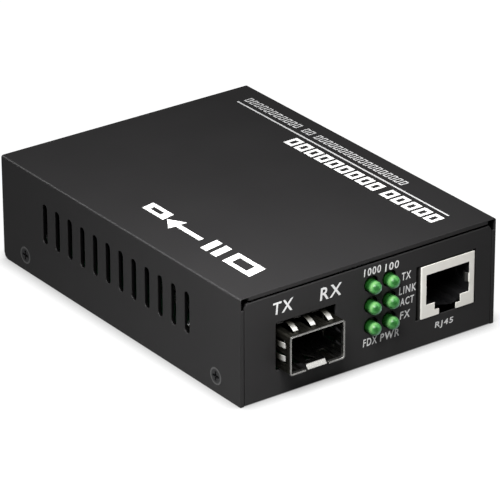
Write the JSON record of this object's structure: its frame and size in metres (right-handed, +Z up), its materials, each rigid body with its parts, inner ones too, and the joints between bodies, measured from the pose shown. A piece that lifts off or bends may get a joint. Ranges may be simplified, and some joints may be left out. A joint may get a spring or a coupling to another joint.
{
  "type": "fibre media converter",
  "caption": "Black folded sheet-metal box with a pluggable fibre port, a copper network jack, green indicator lamps, side cooling slots and a rear low voltage inlet.",
  "frame": {"origin": "middle of the underside of the case, without the fibre port that stands out in front", "axes": "+X right seen from the front, +Y from the front panel to the rear panel, +Z up"},
  "size_m": [0.07, 0.0982, 0.026],
  "materials": {
    "case_coat": "fine satin black powder coat on folded steel",
    "black_screw": "black oxide countersunk screws",
    "zinc_steel": "zinc plated steel",
    "board_laminate": "green solder mask on glass laminate",
    "plated_steel": "bright tin and nickel plated sheet",
    "contact_metal": "gold plated contact strip",
    "black_moulding": "black glass-filled connector plastic",
    "lamp_resin": "clear green lamp resin",
    "lead_metal": "tinned lamp leads",
    "chip_resin": "black moulding compound with tinned leads",
    "can_metal": "drawn metal cans",
    "ferrite": "dark grey ferrite"
  },
  "bodies": {
    "root": {"base_chassis": "case_coat", "top_cover": "case_coat", "cover_screws": "black_screw", "board_standoffs": "zinc_steel", "board_screws": "zinc_steel", "circuit_board": "board_laminate", "sfp_cage": "plated_steel", "sfp_emi_collar": "plated_steel", "rj45_shield": "plated_steel", "sfp_host_contacts": "contact_metal", "rj45_contacts": "contact_metal", "dc_jack_pin": "contact_metal", "dc_jack_leaf": "contact_metal", "sfp_host_connector": "black_moulding", "rj45_insulator": "black_moulding", "dc_jack_housing": "black_moulding", "lamp_holder_left": "black_moulding", "lamp_holder_right": "black_moulding", "lamp_lower_left": "lamp_resin", "lamp_middle_left": "lamp_resin", "lamp_upper_left": "lamp_resin", "lamp_lower_right": "lamp_resin", "lamp_middle_right": "lamp_resin", "lamp_upper_right": "lamp_resin", "lamp_leads": "lead_metal", "converter_chip": "chip_resin", "network_transformer": "chip_resin", "memory_chip": "chip_resin", "voltage_regulator": "chip_resin", "crystal_can": "can_metal", "input_capacitor": "can_metal", "output_capacitor": "can_metal", "power_inductor": "ferrite"}
  },
  "joints": []
}
